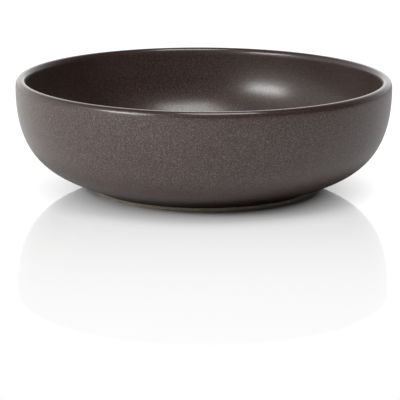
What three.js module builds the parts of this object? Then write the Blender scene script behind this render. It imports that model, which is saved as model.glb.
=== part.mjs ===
// A low, wide stoneware bowl with a dark glaze and a bare foot ring.
// Millimetres, +Z up, origin on the table under the middle of the foot ring.
// Every piece is a profile turned about the bowl's axis, as it is on the wheel.

import * as THREE from "three";

// Driving sizes of the finished, glazed bowl
const BOWL_DIAMETER = 200; // across the widest part of the wall
const BOWL_HEIGHT = 59.6; // table to the top of the lip
const WALL_THICKNESS = 5.5; // at the lip, glaze included
const FLOOR_THICKNESS = 4.6; // at the middle, glaze included on both faces
const FLOOR_DISH = 1.2; // how far the middle of the floor lies below its edge
const FLOOR_RADIUS = 41.6; // where the floor starts to turn up into the wall
const FLOOR_EDGE_SLOPE = 0.07; // rise of the floor at its edge, in radians

// The outside of the belly: it leaves the foot at a low slope and ends upright
const BELLY_TOP = 54.8; // height at which the wall is upright and widest
const BELLY_SLOPE = 0.44; // rise where the belly leaves the foot, in radians
const BELLY_REACH = 18.4; // how far the low slope carries outwards
const WALL_REACH = 42.4; // how far the upright wall carries downwards

// The inside: the same idea, a little tighter at the shoulder
const INSIDE_REACH = 29.8; // how far the floor's slope carries outwards
const INSIDE_WALL_REACH = 35; // how far the upright inner wall carries downwards

// The lip: a steep round shoulder outside, a full one inside
const LIP_OUTER_ROUND = 2.2; // width of the outer rounding
const LIP_INNER_DEPTH = 4; // height of the inner rounding

// The foot ring, left bare of glaze
const FOOT_DIAMETER = 116.8; // across the face that stands on the table
const FOOT_HEIGHT = 2.3; // table to the flat seat under the body
const FOOT_WIDTH = 5.2; // of the standing ring at the table
const FOOT_DRAFT = 0.16; // lean of the ring's outer and inner wall, in radians
const FOOT_EDGE = 0.6; // rounding of the ring's two lower edges
const WIPED_BAND = 0.8; // bare clay between the ring and the edge of the glaze

// The glaze
const GLAZE_THICKNESS = 0.5;
const BASE_GLAZE_MARGIN = 1.2; // bare clay between the ring and the glaze under the floor
const BOND_LINE = 0.02; // hairline kept between the glaze and the curved clay it is fused to

// Smoothness
const TURN_STEPS = 60;
const CURVE_STEPS = 9;
const LIP_STEPS = 5;
const FLOOR_STEPS = 3;
const EDGE_STEPS = 3;

const bowlRadius = BOWL_DIAMETER / 2;
const footRadius = FOOT_DIAMETER / 2;
const insideRadius = bowlRadius - WALL_THICKNESS;
const footLean = FOOT_HEIGHT * Math.tan(FOOT_DRAFT);
const seatOuterRadius = footRadius - footLean;
const seatInnerRadius = footRadius - FOOT_WIDTH + footLean;
const floorMiddle = FOOT_HEIGHT - GLAZE_THICKNESS + FLOOR_THICKNESS;
const floorEdge = floorMiddle + FLOOR_DISH;

const point = (radius, height) => new THREE.Vector2(radius, height);

// A point that lies a given reach from another, at an angle above the horizontal.
function reachFrom(start, angle, reach) {
  return point(start.x + reach * Math.cos(angle), start.y + reach * Math.sin(angle));
}

function cubic(start, startHandle, endHandle, end, steps) {
  return new THREE.CubicBezierCurve(start, startHandle, endHandle, end).getPoints(steps);
}

// A quarter of an ellipse about a centre, from one angle to another.
function quarter(centre, width, height, from, to, steps) {
  return new THREE.EllipseCurve(centre.x, centre.y, width, height, from, to, to < from).getPoints(steps);
}

// Joins stretches of a profile end to end, leaving out each shared point.
function join(...stretches) {
  return stretches.flatMap((stretch, i) => (i === 0 ? stretch : stretch.slice(1)));
}

// The line that lies a given distance to the left of a profile's own direction of travel.
function offsetLeft(line, distance) {
  return line.map((here, i) => {
    const before = line[Math.max(i - 1, 0)];
    const after = line[Math.min(i + 1, line.length - 1)];
    const along = after.clone().sub(before).normalize();
    return point(Math.max(here.x - distance * along.y, 0), here.y + distance * along.x);
  });
}

// The glazed surface, from its edge beside the foot, up the outside, over the lip and down to the middle.
function glazedSurface() {
  const start = point(
    seatOuterRadius + WIPED_BAND + GLAZE_THICKNESS * Math.sin(BELLY_SLOPE),
    FOOT_HEIGHT - GLAZE_THICKNESS * Math.cos(BELLY_SLOPE),
  );
  const widest = point(bowlRadius, BELLY_TOP);
  const belly = cubic(
    start,
    reachFrom(start, BELLY_SLOPE, BELLY_REACH),
    point(bowlRadius, BELLY_TOP - WALL_REACH),
    widest,
    CURVE_STEPS,
  );
  const crown = bowlRadius - LIP_OUTER_ROUND;
  const lipOutside = quarter(
    point(crown, BELLY_TOP),
    LIP_OUTER_ROUND,
    BOWL_HEIGHT - BELLY_TOP,
    0,
    Math.PI / 2,
    LIP_STEPS,
  );
  const insideTop = BOWL_HEIGHT - LIP_INNER_DEPTH;
  const lipInside = quarter(
    point(crown, insideTop),
    crown - insideRadius,
    LIP_INNER_DEPTH,
    Math.PI / 2,
    Math.PI,
    LIP_STEPS,
  );
  const turnUp = point(FLOOR_RADIUS, floorEdge);
  const innerWall = cubic(
    point(insideRadius, insideTop),
    point(insideRadius, insideTop - INSIDE_WALL_REACH),
    reachFrom(turnUp, FLOOR_EDGE_SLOPE, INSIDE_REACH),
    turnUp,
    CURVE_STEPS,
  );
  const floor = new THREE.QuadraticBezierCurve(
    turnUp,
    point(FLOOR_RADIUS - FLOOR_DISH / Math.tan(FLOOR_EDGE_SLOPE), floorMiddle),
    point(0, floorMiddle),
  ).getPoints(FLOOR_STEPS);
  return join(belly, lipOutside, lipInside, innerWall, floor);
}

// Turns a closed profile about the bowl's axis and stands it up along Z.
function turned(profile) {
  const closed = [...profile, profile[0]];
  return new THREE.LatheGeometry(closed, TURN_STEPS).rotateX(Math.PI / 2);
}

function piece(name, geometry, material) {
  const mesh = new THREE.Mesh(geometry, material);
  mesh.name = name;
  return mesh;
}

const bareClay = new THREE.MeshStandardMaterial({ color: 0x8f8571, roughness: 0.9, metalness: 0 });
const darkGlaze = new THREE.MeshStandardMaterial({ color: 0x4a403d, roughness: 0.42, metalness: 0 });

const glazeFace = glazedSurface();
const glazeBack = offsetLeft(glazeFace, GLAZE_THICKNESS);
const clayFace = offsetLeft(glazeFace, GLAZE_THICKNESS + BOND_LINE);

// The fired clay under the glaze: wall, lip and floor, with a flat seat for the foot ring.
function clayBody() {
  return turned([...clayFace, point(0, FOOT_HEIGHT), point(seatInnerRadius, FOOT_HEIGHT), point(seatOuterRadius, FOOT_HEIGHT)]);
}

// One continuous coat of glaze, inside and out, that lies on the clay.
function glazeCoat() {
  return turned([...glazeFace, ...[...glazeBack].reverse()]);
}

// The ring that the bowl stands on, luted to the body's seat.
function footRing() {
  const standing = point(footRadius - FOOT_EDGE, FOOT_EDGE);
  const innerFoot = footRadius - FOOT_WIDTH + FOOT_EDGE;
  const outerEdge = quarter(standing, FOOT_EDGE, FOOT_EDGE, 0, -Math.PI / 2, EDGE_STEPS);
  const innerEdge = quarter(point(innerFoot, FOOT_EDGE), FOOT_EDGE, FOOT_EDGE, -Math.PI / 2, -Math.PI, EDGE_STEPS);
  return turned([
    ...[...outerEdge].reverse(),
    point(seatOuterRadius, FOOT_HEIGHT),
    point(seatInnerRadius, FOOT_HEIGHT),
    ...[...innerEdge].reverse(),
  ]);
}

// The disc of glaze in the recess under the floor.
function baseGlaze() {
  const edge = seatInnerRadius - BASE_GLAZE_MARGIN;
  return turned([
    point(0, FOOT_HEIGHT - GLAZE_THICKNESS),
    point(edge - GLAZE_THICKNESS, FOOT_HEIGHT - GLAZE_THICKNESS),
    point(edge, FOOT_HEIGHT),
    point(0, FOOT_HEIGHT),
  ]);
}

const bowl = new THREE.Group();
bowl.add(
  piece("clay_body", clayBody(), bareClay),
  piece("foot_ring", footRing(), bareClay),
  piece("glaze_coat", glazeCoat(), darkGlaze),
  piece("base_glaze", baseGlaze(), darkGlaze),
);

export default bowl;
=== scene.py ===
"""A low, wide stoneware bowl with a dark satin glaze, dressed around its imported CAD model.

Metres, +Z up, origin on the table under the middle of the foot ring.
Every surface is a profile turned about the bowl's axis, as it is on the wheel.
"""

import math

import bpy
import numpy as np
from mathutils import Matrix, Vector


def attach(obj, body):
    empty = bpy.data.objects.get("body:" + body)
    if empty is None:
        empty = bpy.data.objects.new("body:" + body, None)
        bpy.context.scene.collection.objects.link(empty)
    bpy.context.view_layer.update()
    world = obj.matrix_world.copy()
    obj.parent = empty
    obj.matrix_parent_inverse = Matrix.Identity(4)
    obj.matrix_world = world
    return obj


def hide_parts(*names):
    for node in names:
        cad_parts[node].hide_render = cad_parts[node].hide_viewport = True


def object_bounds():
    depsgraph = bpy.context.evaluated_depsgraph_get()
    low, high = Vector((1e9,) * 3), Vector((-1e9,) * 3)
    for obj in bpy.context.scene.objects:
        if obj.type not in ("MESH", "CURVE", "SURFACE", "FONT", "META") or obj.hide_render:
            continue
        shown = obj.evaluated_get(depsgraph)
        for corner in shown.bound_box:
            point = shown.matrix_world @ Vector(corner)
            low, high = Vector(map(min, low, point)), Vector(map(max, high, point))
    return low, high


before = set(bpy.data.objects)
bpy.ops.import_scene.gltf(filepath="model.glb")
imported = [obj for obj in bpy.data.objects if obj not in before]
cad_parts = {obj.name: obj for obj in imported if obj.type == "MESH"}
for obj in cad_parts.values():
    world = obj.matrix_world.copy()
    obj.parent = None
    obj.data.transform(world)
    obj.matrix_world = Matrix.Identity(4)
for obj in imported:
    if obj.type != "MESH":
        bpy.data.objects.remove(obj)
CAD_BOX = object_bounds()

bl_info = {
    "name": "Stoneware bowl",
    "version": (1, 0, 0),
    "blender": (4, 5, 0),
    "location": "3D View > Sidebar > Bowl",
    "description": "Builds a glazed stoneware bowl with a bare foot ring, and its table and lights",
    "category": "Add Mesh",
}

MM = 0.001

# Turned form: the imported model's, with a flatter crown on the lip
BELLY_SLOPE = 0.44  # rise where the belly leaves the foot, in radians
BELLY_REACH = 18.4 * MM  # how far the low slope carries outwards
WALL_REACH = 42.4 * MM  # how far the upright wall carries downwards
LIP_OUTER_ROUND = 3 * MM
LIP_OUTER_DEPTH = 4.8 * MM
LIP_OUTER_FLATNESS = 2.6
LIP_INNER_DEPTH = 4 * MM
LIP_INNER_FLATNESS = 2.4
INSIDE_REACH = 29.8 * MM
INSIDE_WALL_REACH = 35 * MM
FLOOR_RADIUS = 41.6 * MM
FLOOR_DISH = 1.2 * MM
FLOOR_EDGE_SLOPE = 0.07
FOOT_DRAFT = 0.16  # lean of the ring's walls, in radians
FOOT_EDGE = 0.6 * MM
WIPED_BAND = 0.8 * MM  # bare clay between the ring and the glaze
BASE_GLAZE_MARGIN = 1.2 * MM
BOND_LINE = 0.02 * MM  # hairline between the glaze and the clay

# Points along each stretch of the profile, and steps round the axis
BELLY_POINTS = 60
LIP_OUTER_POINTS = 22
LIP_INNER_POINTS = 18
INSIDE_POINTS = 56
FLOOR_POINTS = 16
EDGE_POINTS = 8
BASE_POINTS = 11
BASE_EDGE_POINTS = 6
GLAZE_STEPS = 384
CLAY_STEPS = 256
FOOT_STEPS = 320
BASE_STEPS = 192
TABLE_STEPS = 96

# Where the glaze changes and where shade is painted beside the foot, as shares of the belly or of the
# lip's outer rounding, and its grain
FOOT_FADE = 0.15  # the outside finish comes in from the foot; below it the belly takes the darker inside glaze, painted shade beside the foot
PAINTED_SHADE_FADE = (0.1, 0.52)  # the painted shade on the low belly beside the foot fades out
SHOULDER_FADE = (0.05, 0.35)  # the outside finish goes round the shoulder
LIP_FADE = (1.5 * MM, 0.3 * MM)  # depth below the top over which the smooth lip comes in
# share of the painted shade, a darker rough brown, in the glaze beside the foot
PAINTED_SHADE_SHARE = 0.75
CRYSTAL_SCALE = 1500
DRIFT_SCALE = 30
GRAIN_SCALE = 900
GLAZE_IOR = 1.5
# index of the rough brown that paints shade beside the foot
PAINTED_SHADE_IOR = 1.2
TABLE_IOR = 1.49

# Table: its mirror fades to the front and far away, its shadow lies round the foot
MIRROR_EDGE = -0.062
MIRROR_FALL = 0.113
MIRROR_NEAR = 0.35
MIRROR_FAR = 0.9
SHADOW_EDGE = 0.062
SHADOW_END = 0.104
SHADOW_CURVE = 1.25
TABLE_WHITE = 0.92
TABLE_BOUNCE = 0.8
TABLE_LEFT = 0.9  # how white the open table looks in the glaze, to the left
TABLE_RIGHT = 0.25  # and to the right, behind the bowl
OPEN_TABLE = (0.1, 0.2)
OPEN_SIDE = 0.1
OPEN_DEPTH = 0.05
TABLE_EDGE = 0.02

# Room: strengths of its back, left and low front, and the heights where they fade
ROOM_BACK = 1.45
ROOM_LOW = 0.2
ROOM_HIGH = 1
ROOM_DARK = 0.6
ROOM_LEFT = 0.87
ROOM_FRONT = 1
FRONT_HEIGHT = 0.15
FRONT_LEAN = 0.5

# Lamps and camera
LAMP_TARGET = (0, 0, 0.027)
LEFT_PLACE = (-0.639, -0.570, 0.439)
LEFT_SIZE = (0.4, 0.15)
LEFT_POWER = 4
TOP_PLACE = (0.101, -0.270, 0.880)
TOP_SIZE = (0.45, 0.45)
TOP_POWER = 4.9
VIEW_MIDDLE = (0, 0, 0.0258)
VIEW_AIM = (-0.001712, 0, -0.007480)
VIEW_ROLL = math.radians(0.306)
SENSOR_WIDTH = 36


class BowlForm(bpy.types.PropertyGroup):
    """Sizes of the turned bowl."""

    diameter: bpy.props.FloatProperty(
        name="Diameter",
        description="Across the widest part of the wall",
        default=CAD_BOX[1][0] - CAD_BOX[0][0],
        unit="LENGTH",
    )
    height: bpy.props.FloatProperty(
        name="Height",
        description="Table to the top of the lip",
        default=CAD_BOX[1][2],
        unit="LENGTH",
    )
    wall: bpy.props.FloatProperty(
        name="Wall",
        description="Thickness of the wall at the lip, glaze included",
        default=5.5 * MM,
        unit="LENGTH",
    )
    glaze: bpy.props.FloatProperty(
        name="Glaze",
        description="Thickness of the glaze",
        default=0.5 * MM,
        unit="LENGTH",
    )
    floor: bpy.props.FloatProperty(
        name="Floor",
        description="Thickness of the middle of the floor, glaze included on both faces",
        default=4.6 * MM,
        unit="LENGTH",
    )
    foot_diameter: bpy.props.FloatProperty(
        name="Foot diameter",
        description="Across the ring that stands on the table",
        default=116.8 * MM,
        unit="LENGTH",
    )
    foot_height: bpy.props.FloatProperty(
        name="Foot height",
        description="Table to the seat under the body",
        default=2.3 * MM,
        unit="LENGTH",
    )
    foot_width: bpy.props.FloatProperty(
        name="Foot width",
        description="Width of the foot ring at the table",
        default=5.2 * MM,
        unit="LENGTH",
    )


class BowlFinish(bpy.types.PropertyGroup):
    """Colours and gloss of the glaze and the clay."""

    inside_colour: bpy.props.FloatVectorProperty(
        name="Inside",
        description="Smooth brown glaze of the inside and the lip",
        default=(0.041, 0.0185, 0.014),
        subtype="COLOR",
        size=3,
        min=0,
        max=1,
    )
    outside_colour: bpy.props.FloatVectorProperty(
        name="Outside",
        description="Greyer, drier glaze of the outside",
        default=(0.050, 0.020, 0.0135),
        subtype="COLOR",
        size=3,
        min=0,
        max=1,
    )
    speck_colour: bpy.props.FloatVectorProperty(
        name="Specks",
        description="Fine pale crystals in the glaze",
        default=(0.42, 0.41, 0.41),
        subtype="COLOR",
        size=3,
        min=0,
        max=1,
    )
    inside_roughness: bpy.props.FloatProperty(
        name="Inside roughness",
        description="How satin the inside is",
        default=0.25,
        min=0,
        max=1,
    )
    outside_roughness: bpy.props.FloatProperty(
        name="Outside roughness",
        description="How satin the outside is",
        default=0.3,
        min=0,
        max=1,
    )
    lip_roughness: bpy.props.FloatProperty(
        name="Lip roughness",
        description="How smooth the lip is, where the glaze ran thin",
        default=0.1,
        min=0,
        max=1,
    )
    sheen: bpy.props.FloatProperty(
        name="Sheen",
        description="Weight of the broad sheen that the crystals give",
        default=0.5,
        min=0,
        max=1,
    )
    clay_colour: bpy.props.FloatVectorProperty(
        name="Clay",
        description="Bare fired clay of the foot ring",
        default=(0.6, 0.52, 0.415),
        subtype="COLOR",
        size=3,
        min=0,
        max=1,
    )


class BowlStage(bpy.types.PropertyGroup):
    """The table, the lamps and the camera."""

    camera_distance: bpy.props.FloatProperty(
        name="Camera distance",
        description="From the camera to the bowl's middle",
        default=1.257,
        unit="LENGTH",
    )
    camera_elevation: bpy.props.FloatProperty(
        name="Camera elevation",
        description="Height of the view above the table, as an angle",
        default=math.radians(11.611),
        subtype="ANGLE",
    )
    camera_lens: bpy.props.FloatProperty(
        name="Lens",
        description="Focal length on a 36 mm sensor",
        default=211.37,
    )
    table_radius: bpy.props.FloatProperty(
        name="Table radius",
        description="Radius of the round white table top",
        default=6.0,
        unit="LENGTH",
    )


# Profiles

def cubic(start, start_handle, end_handle, end, steps):
    """Cubic Bezier: its four points weighted by (1-t)^3, 3t(1-t)^2, 3t^2(1-t) and t^3."""
    t = np.linspace(0, 1, steps + 1)[:, None]
    corners = [np.asarray(corner, float) for corner in (start, start_handle, end_handle, end)]
    weights = ((1 - t) ** 3, 3 * t * (1 - t) ** 2, 3 * t ** 2 * (1 - t), t ** 3)
    return sum(weight * corner for weight, corner in zip(weights, corners))


def quadratic(start, handle, end, steps):
    """Quadratic Bezier from start to end: (1-t)^2, 2t(1-t) and t^2 times its three points."""
    t = np.linspace(0, 1, steps + 1)[:, None]
    corners = [np.asarray(corner, float) for corner in (start, handle, end)]
    weights = ((1 - t) ** 2, 2 * t * (1 - t), t ** 2)
    return sum(weight * corner for weight, corner in zip(weights, corners))


def quarter(centre, width, height, begin, finish, steps, flatness=2):
    """Arc of an ellipse: centre + (width cos a, height sin a), for a from begin to finish.

    A flatness above 2 raises cos a and sin a to the power of 2 / flatness: the ends are flatter.
    """
    angle = np.linspace(begin, finish, steps + 1)
    turn = np.stack((np.cos(angle), np.sin(angle)), axis=1)
    turn[np.abs(turn) < 1e-12] = 0
    return np.asarray(centre) + (width, height) * np.sign(turn) * np.abs(turn) ** (2 / flatness)


def joined(*stretches):
    """Stretches of a profile end to end, without each shared point."""
    return np.concatenate([stretches[0]] + [stretch[1:] for stretch in stretches[1:]])


def smoothstep(value, low, high):
    """0 below low, 1 above high, and 3t^2 - 2t^3 of the way between."""
    t = np.clip((value - low) / (high - low), 0, 1)
    return t * t * (3 - 2 * t)


def offset_left(line, distance):
    """The line moved to the left of its own direction of travel, along its normals."""
    along = np.gradient(line, axis=0)
    along /= np.linalg.norm(along, axis=1)[:, None]
    moved = line + distance * np.stack((-along[:, 1], along[:, 0]), axis=1)
    moved[:, 0] = np.maximum(moved[:, 0], 0)
    return moved


def glazed_profile(form):
    """The glazed surface from beside the foot, up, over the lip and down to the middle.

    Gives radius and height of each point, and how far each point belongs to the matte outside, to the
    smooth lip, and to the painted shade on the low belly beside the foot, from 0 to 1.
    """
    rim = form.diameter / 2
    seat = form.foot_diameter / 2 - form.foot_height * math.tan(FOOT_DRAFT)
    start = (
        seat + WIPED_BAND + form.glaze * math.sin(BELLY_SLOPE),
        form.foot_height - form.glaze * math.cos(BELLY_SLOPE),
    )
    low_handle = (
        start[0] + BELLY_REACH * math.cos(BELLY_SLOPE),
        start[1] + BELLY_REACH * math.sin(BELLY_SLOPE),
    )
    belly_top = form.height - LIP_OUTER_DEPTH
    belly = cubic(start, low_handle, (rim, belly_top - WALL_REACH), (rim, belly_top), BELLY_POINTS)

    crown = rim - LIP_OUTER_ROUND
    inside = rim - form.wall
    inside_top = form.height - LIP_INNER_DEPTH
    lip_outside = quarter(
        (crown, belly_top), LIP_OUTER_ROUND, LIP_OUTER_DEPTH,
        0, math.pi / 2, LIP_OUTER_POINTS, LIP_OUTER_FLATNESS,
    )
    lip_inside = quarter(
        (crown, inside_top), crown - inside, LIP_INNER_DEPTH,
        math.pi / 2, math.pi, LIP_INNER_POINTS, LIP_INNER_FLATNESS,
    )

    floor_middle = form.foot_height - form.glaze + form.floor
    turn_up = (FLOOR_RADIUS, floor_middle + FLOOR_DISH)
    low_wall = (
        turn_up[0] + INSIDE_REACH * math.cos(FLOOR_EDGE_SLOPE),
        turn_up[1] + INSIDE_REACH * math.sin(FLOOR_EDGE_SLOPE),
    )
    high_wall = (inside, inside_top - INSIDE_WALL_REACH)
    inner_wall = cubic((inside, inside_top), high_wall, low_wall, turn_up, INSIDE_POINTS)
    dish_handle = (turn_up[0] - FLOOR_DISH / math.tan(FLOOR_EDGE_SLOPE), floor_middle)
    floor = quadratic(turn_up, dish_handle, (0, floor_middle), FLOOR_POINTS)
    profile = joined(belly, lip_outside, lip_inside, inner_wall, floor)

    along_belly = np.linspace(0, 1, len(belly))
    outside = np.zeros(len(profile))
    # Painted shade: the low belly by the foot gets the darker, less speckled inside glaze
    outside[:len(belly)] = smoothstep(along_belly, 0, FOOT_FADE)
    shoulder = slice(len(belly) - 1, len(belly) + len(lip_outside) - 1)
    outside[shoulder] = 1 - smoothstep(np.linspace(0, 1, len(lip_outside)), *SHOULDER_FADE)
    lip = (1 - outside) * smoothstep(profile[:, 1], form.height - LIP_FADE[0], form.height - LIP_FADE[1])
    # Painted shade: darkest at the glaze's lower edge beside the foot, gone partway up the belly
    painted_foot_shade = np.zeros(len(profile))
    painted_foot_shade[:len(belly)] = 1 - smoothstep(along_belly, *PAINTED_SHADE_FADE)
    return profile, {"outside": outside, "lip": lip, "painted_foot_shade": painted_foot_shade}


# Meshes

def turned_mesh(name, profile, steps, traits=None):
    """A closed profile turned about Z: (r cos a, r sin a, z) for each profile point and each angle a.

    Points on the axis are one vertex each, so the poles are closed. Each trait holds one value for each
    profile point, and becomes an attribute that a material can read.
    """
    angle = np.linspace(0, 2 * math.pi, steps, endpoint=False)
    on_axis = profile[:, 0] < 1e-9
    counts = np.where(on_axis, 1, steps)
    starts = np.concatenate(([0], np.cumsum(counts)[:-1]))
    columns = starts + np.where(on_axis, 0, np.arange(steps)[:, None])
    radius = profile[:, 0]
    height = np.broadcast_to(profile[:, 1], (steps, len(profile)))
    grid = np.stack((radius * np.cos(angle)[:, None], radius * np.sin(angle)[:, None], height), axis=2)
    vertices = np.zeros((counts.sum(), 3))
    vertices[columns.ravel()] = grid.reshape(-1, 3)

    after = np.roll(np.arange(len(profile)), -1)
    here, there = columns, np.roll(columns, -1, axis=0)
    quads = np.stack((here, there, there[:, after], here[:, after]), axis=2).reshape(-1, 4)
    same_here = quads[:, 0] == quads[:, 1]
    same_there = quads[:, 2] == quads[:, 3]
    faces = quads[~same_here & ~same_there].tolist()
    faces += quads[same_here & ~same_there][:, [0, 2, 3]].tolist()
    faces += quads[~same_here & same_there][:, :3].tolist()

    mesh = bpy.data.meshes.new(name)
    mesh.from_pydata(vertices.tolist(), [], faces)
    mesh.shade_smooth()
    for trait, values in (traits or {}).items():
        spread = np.zeros(counts.sum(), dtype=np.float32)
        spread[columns] = values
        mesh.attributes.new(trait, "FLOAT", "POINT").data.foreach_set("value", spread)
    mesh.update()
    return mesh


def place(name, profile, steps, node, material, traits=None):
    """Makes a turned piece that stands for a CAD node, hides that node, and gives the piece the material
    passed in.
    """
    piece = bpy.data.objects.new(name, turned_mesh(name, profile, steps, traits))
    bpy.context.scene.collection.objects.link(piece)
    piece.data.materials.append(material)
    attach(piece, "root")
    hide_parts(node)


# Shader maths

class Socket:
    """A shader value: the usual operators add Math nodes."""

    def __init__(self, tree, link):
        self.tree = tree
        self.link = link

    def maths(self, operation, *others):
        node = self.tree.nodes.new("ShaderNodeMath")
        node.operation = operation
        for socket, value in zip(node.inputs, (self, *others)):
            feed(self.tree, socket, value)
        return Socket(self.tree, node.outputs[0])

    def __add__(self, other):
        return self.maths("ADD", other)

    def __sub__(self, other):
        return self.maths("SUBTRACT", other)

    def __mul__(self, other):
        return self.maths("MULTIPLY", other)

    def __rsub__(self, other):
        return self * -1 + other

    __radd__ = __add__
    __rmul__ = __mul__


def feed(tree, socket, value):
    """Links a value to a socket, or sets it there when it is plain."""
    if isinstance(value, Socket):
        tree.links.new(value.link, socket)
    else:
        socket.default_value = value


class Finish:
    """A material, or the world, being made: one method adds any node."""

    def __init__(self, block, output="ShaderNodeOutputMaterial"):
        block.use_nodes = True
        self.block = block
        self.tree = block.node_tree
        self.tree.nodes.clear()
        self.output = self.tree.nodes.new(output)

    def node(self, kind, settings=None, out=0, **inputs):
        made = self.tree.nodes.new(kind)
        for key, value in (settings or {}).items():
            setattr(made, key, value)
        for key, value in inputs.items():
            feed(self.tree, made.inputs[key.replace("_", " ")], value)
        return Socket(self.tree, made.outputs[out])

    def place(self):
        return self.node("ShaderNodeTexCoord", out="Object")

    def axis(self, where, name):
        return self.node("ShaderNodeSeparateXYZ", out=name, Vector=where)

    def ray(self, kind):
        return self.node("ShaderNodeLightPath", out=f"Is {kind} Ray")

    def seen(self):
        """1 where the camera looks, also through glass."""
        return self.ray("Camera").maths("MAXIMUM", self.ray("Transmission"))

    def noise(self, where, scale, detail, roughness=0.5):
        sizes = {"Scale": scale, "Detail": detail, "Roughness": roughness}
        return self.node("ShaderNodeTexNoise", Vector=where, **sizes)

    def trait(self, name):
        return self.node("ShaderNodeAttribute", {"attribute_name": name}, out="Fac")

    def mix(self, factor, first, second):
        made = self.tree.nodes.new("ShaderNodeMix")
        made.data_type = "RGBA"
        feed(self.tree, made.inputs[0], factor)
        feed(self.tree, made.inputs[6], first)
        feed(self.tree, made.inputs[7], second)
        return Socket(self.tree, made.outputs[2])

    def ramp(self, value, low, high):
        made = self.tree.nodes.new("ShaderNodeMapRange")
        feed(self.tree, made.inputs[0], value)
        made.inputs[1].default_value = low
        made.inputs[2].default_value = high
        return Socket(self.tree, made.outputs[0])

    def mix_shader(self, factor, first, second):
        made = self.tree.nodes.new("ShaderNodeMixShader")
        for socket, value in zip(made.inputs, (factor, first, second)):
            feed(self.tree, socket, value)
        return Socket(self.tree, made.outputs[0])

    def done(self, surface):
        self.tree.links.new(surface.link, self.output.inputs["Surface"])
        return self.block


def shade(colour, share=1):
    """A share of a colour, with the fourth value that a colour socket takes."""
    return (*(share * part for part in colour), 1)


def glaze_material(finish):
    """Satin glaze: brown inside, greyer and full of fine crystals outside, smooth over the lip, with
    painted shade on the low belly beside the foot.
    """
    look = Finish(bpy.data.materials.new("dark_glaze"))
    where = look.place()
    outside = look.trait("outside")
    lip = look.trait("lip")

    crystals = look.noise(where, CRYSTAL_SCALE, 1)
    specks = look.ramp(crystals, 0.42, 0.7) * (outside * 0.12 + 0.08) * (1 - lip)
    drift = look.ramp(look.noise(where, DRIFT_SCALE, 3), 0.3, 0.75)
    base = look.mix(outside, shade(finish.inside_colour), shade(finish.outside_colour))
    deep = look.mix(outside, shade(finish.inside_colour, 0.85), shade(finish.outside_colour, 0.85))
    base = look.mix(drift, base, deep)
    base = look.mix(specks, base, shade(finish.speck_colour))

    smooth = lip * (finish.lip_roughness - finish.inside_roughness)
    matte = outside * (finish.outside_roughness - finish.inside_roughness)
    gloss = smooth + matte + finish.inside_roughness
    height = crystals * (outside * 0.7 + 0.3) * (1 - lip)
    bump = look.node("ShaderNodeBump", Strength=0.9, Distance=0.0001, Height=height)
    satin = look.node(
        "ShaderNodeBsdfPrincipled",
        Base_Color=base,
        Roughness=gloss,
        Normal=bump,
        IOR=GLAZE_IOR,
        Coat_Weight=(1 - lip * 0.6) * finish.sheen,
        Coat_Roughness=0.5,
    )
    # Painted shade beside the foot: a darker, rough brown mixed over the low belly
    dark = look.mix(drift, shade(finish.inside_colour, 0.5), shade(finish.inside_colour, 0.35))
    painted_shade = look.node(
        "ShaderNodeBsdfPrincipled",
        Base_Color=dark,
        Roughness=0.9,
        Normal=bump,
        IOR=PAINTED_SHADE_IOR,
    )
    return look.done(look.mix_shader(look.trait("painted_foot_shade") * PAINTED_SHADE_SHARE, satin, painted_shade))


def clay_material(finish):
    """Bare fired clay: unglazed and matte, with grains and small pits."""
    look = Finish(bpy.data.materials.new("fired_clay"))
    where = look.place()
    grain = look.noise(where, GRAIN_SCALE, 3, 0.7)
    pale, dark = shade(finish.clay_colour), shade(finish.clay_colour, 0.7)
    base = look.mix(look.ramp(grain, 0.35, 0.7), dark, pale)
    bump = look.node("ShaderNodeBump", Strength=0.5, Distance=0.0003, Height=grain)
    return look.done(look.node("ShaderNodeBsdfPrincipled", Base_Color=base, Roughness=0.85, Normal=bump))


class BOWL_OT_glaze(bpy.types.Operator):
    """Turns the coat of glaze, inside and out, and the disc of glaze under the floor"""

    bl_idname = "bowl.glaze"
    bl_label = "Glaze"

    def execute(self, context):
        form = context.scene.bowl_form
        material = glaze_material(context.scene.bowl_finish)
        face, traits = glazed_profile(form)
        back = offset_left(face, form.glaze)
        back = np.concatenate((back[-1:], back[-3:1:-3], back[:1]))
        coat = np.concatenate((face, back))
        hidden = np.zeros(len(back))
        traits = {trait: np.concatenate((values, hidden)) for trait, values in traits.items()}
        place("glaze", coat, GLAZE_STEPS, "glaze_coat", material, traits)

        seat = form.foot_diameter / 2 - form.foot_width + form.foot_height * math.tan(FOOT_DRAFT)
        edge = seat - BASE_GLAZE_MARGIN
        under, top = form.foot_height - form.glaze, form.foot_height
        corner = edge - form.glaze
        radius = np.linspace(0, corner, BASE_POINTS + 1)
        flat = np.stack((radius, np.full_like(radius, under)), axis=1)
        round_edge = quarter((corner, top), form.glaze, form.glaze, -math.pi / 2, 0, BASE_EDGE_POINTS)
        disc = np.concatenate((flat, round_edge[1:], [(0, top)]))
        place("base_glaze_disc", disc, BASE_STEPS, "base_glaze", material)
        return {"FINISHED"}


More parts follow.
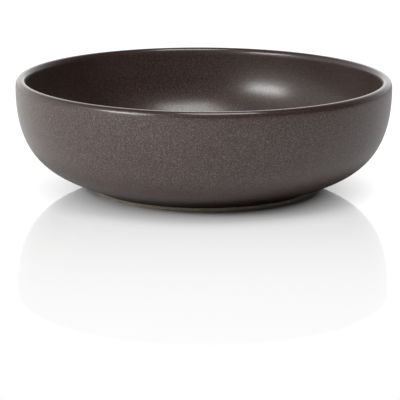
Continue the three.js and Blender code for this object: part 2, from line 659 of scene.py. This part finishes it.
class BOWL_OT_clay(bpy.types.Operator):
    """Turns the fired clay under the glaze and the foot ring it stands on"""

    bl_idname = "bowl.clay"
    bl_label = "Clay"

    def execute(self, context):
        form = context.scene.bowl_form
        material = clay_material(context.scene.bowl_finish)
        face = offset_left(glazed_profile(form)[0], form.glaze + BOND_LINE)
        lean = form.foot_height * math.tan(FOOT_DRAFT)
        outer = form.foot_diameter / 2
        inner = outer - form.foot_width
        seat = np.array([(inner + lean, form.foot_height), (outer - lean, form.foot_height)])
        body = np.concatenate((face, [(0, form.foot_height)], seat))
        place("fired_body", body, CLAY_STEPS, "clay_body", material)

        edge = FOOT_EDGE
        outside = quarter((outer - edge, edge), edge, edge, -math.pi / 2, 0, EDGE_POINTS)
        inside = quarter((inner + edge, edge), edge, edge, -math.pi, -math.pi / 2, EDGE_POINTS)
        ring = np.concatenate((outside, seat[::-1], inside))
        place("foot", ring, FOOT_STEPS, "foot_ring", material)
        return {"FINISHED"}


# Stage

def area_lamp(name, position, size, power):
    """A soft box that faces the bowl."""
    data = bpy.data.lights.new(name, "AREA")
    data.shape = "RECTANGLE"
    data.size, data.size_y = size
    data.energy = power
    lamp = bpy.data.objects.new(name, data)
    bpy.context.scene.collection.objects.link(lamp)
    lamp.location = position
    lamp.rotation_euler = (Vector(LAMP_TARGET) - Vector(position)).to_track_quat("-Z", "Y").to_euler()


def table_material():
    """White table top, with the shadow round the foot and a mirror that fades to the front."""
    look = Finish(bpy.data.materials.new("white_table"))
    where = look.place()
    away = look.node("ShaderNodeVectorMath", {"operation": "LENGTH"}, out="Value", Vector=where)
    across = look.axis(where, "X")
    depth = look.axis(where, "Y")
    camera = look.seen()

    to_front = ((depth - MIRROR_EDGE) * (1 / MIRROR_FALL)).maths("EXPONENT").maths("MINIMUM", 1)
    mirror = to_front * look.ramp(away, MIRROR_FAR, MIRROR_NEAR)
    shadow = look.ramp(away, SHADOW_END, SHADOW_EDGE).maths("POWER", SHADOW_CURVE)
    left = look.ramp(across, 0, -OPEN_SIDE) * TABLE_LEFT
    right = look.ramp(across, 0, OPEN_SIDE) * look.ramp(depth, -OPEN_DEPTH, OPEN_DEPTH) * TABLE_RIGHT
    in_glaze = look.ramp(away, *OPEN_TABLE) * look.ray("Glossy") * (left + right)

    tone = camera * (TABLE_WHITE - TABLE_BOUNCE) + TABLE_BOUNCE
    paper = look.node("ShaderNodeBsdfDiffuse", Color=tone)
    white = look.node("ShaderNodeEmission", Color=(1, 1, 1, 1), Strength=1)
    gloss = look.node("ShaderNodeBsdfGlossy", Color=(1, 1, 1, 1), Roughness=0.03)
    top = look.mix_shader(camera * (1 - shadow) + in_glaze, paper, white)
    fresnel = look.node("ShaderNodeFresnel", IOR=TABLE_IOR)
    return look.done(look.mix_shader(fresnel * mirror * camera, top, gloss))


def white_room():
    """White to the camera; to the glaze a dim room, brighter behind, to the left and low in front."""
    look = Finish(bpy.data.worlds.new("white_room"), "ShaderNodeOutputWorld")
    where = look.node("ShaderNodeTexCoord", out="Generated")
    across = look.axis(where, "X")
    depth = look.axis(where, "Y")
    height = look.axis(where, "Z")
    behind = depth.maths("MAXIMUM", 0)
    before = (depth * -1).maths("MAXIMUM", 0)
    left = across.maths("MINIMUM", 0)
    low = 1 - look.ramp(height, ROOM_LOW, ROOM_HIGH) * ROOM_DARK
    band = (height * (-1 / FRONT_HEIGHT) + 1).maths("MAXIMUM", 0)
    room = behind * behind * low * ROOM_BACK + left * left * ROOM_LEFT
    room = room + before * (1 - across * FRONT_LEAN) * band * ROOM_FRONT
    camera = look.seen()
    strength = camera + (1 - camera) * room
    return look.done(look.node("ShaderNodeBackground", Color=(1, 1, 1, 1), Strength=strength))


def place_camera(stage):
    """The camera in front of the bowl, at a distance and an elevation from its middle."""
    data = bpy.data.cameras.new("camera")
    data.sensor_width = SENSOR_WIDTH
    data.lens = stage.camera_lens
    data.clip_end = 50
    camera = bpy.data.objects.new("camera", data)
    bpy.context.scene.collection.objects.link(camera)
    outwards = Vector((0, -math.cos(stage.camera_elevation), math.sin(stage.camera_elevation)))
    camera.location = Vector(VIEW_MIDDLE) + stage.camera_distance * outwards
    facing = (Vector(VIEW_AIM) - camera.location).to_track_quat("-Z", "Y").to_matrix()
    camera.rotation_euler = (facing @ Matrix.Rotation(VIEW_ROLL, 3, "Z")).to_euler()
    bpy.context.scene.camera = camera


class BOWL_OT_stage(bpy.types.Operator):
    """Makes the white table, the soft lamps, the white surroundings and the camera"""

    bl_idname = "bowl.stage"
    bl_label = "Stage"

    def execute(self, context):
        stage = context.scene.bowl_stage
        edge = stage.table_radius
        slab = np.array([(0, -TABLE_EDGE), (edge, -TABLE_EDGE), (edge, 0), (0, 0)])
        mesh = turned_mesh("table_top", slab, TABLE_STEPS)
        mesh.shade_flat()
        mesh.materials.append(table_material())
        table = bpy.data.objects.new("table_top", mesh)
        context.scene.collection.objects.link(table)

        context.scene.world = white_room()
        area_lamp("left_softbox", LEFT_PLACE, LEFT_SIZE, LEFT_POWER)
        area_lamp("top_softbox", TOP_PLACE, TOP_SIZE, TOP_POWER)
        place_camera(stage)
        context.scene.view_settings.view_transform = "Standard"
        return {"FINISHED"}


class BOWL_PT_panel(bpy.types.Panel):
    """Lists the steps that build the bowl"""

    bl_label = "Stoneware bowl"
    bl_idname = "BOWL_PT_panel"
    bl_space_type = "VIEW_3D"
    bl_region_type = "UI"
    bl_category = "Bowl"

    def draw(self, context):
        for operator in (BOWL_OT_clay, BOWL_OT_glaze, BOWL_OT_stage):
            self.layout.operator(operator.bl_idname)


CLASSES = (BowlForm, BowlFinish, BowlStage, BOWL_OT_clay, BOWL_OT_glaze, BOWL_OT_stage, BOWL_PT_panel)


def register():
    for part in CLASSES:
        bpy.utils.register_class(part)
    bpy.types.Scene.bowl_form = bpy.props.PointerProperty(type=BowlForm)
    bpy.types.Scene.bowl_finish = bpy.props.PointerProperty(type=BowlFinish)
    bpy.types.Scene.bowl_stage = bpy.props.PointerProperty(type=BowlStage)


def unregister():
    del bpy.types.Scene.bowl_stage
    del bpy.types.Scene.bowl_finish
    del bpy.types.Scene.bowl_form
    for part in reversed(CLASSES):
        bpy.utils.unregister_class(part)


def main():
    register()
    bpy.ops.bowl.clay()
    bpy.ops.bowl.glaze()
    bpy.ops.bowl.stage()


if __name__ == "__main__":
    main()
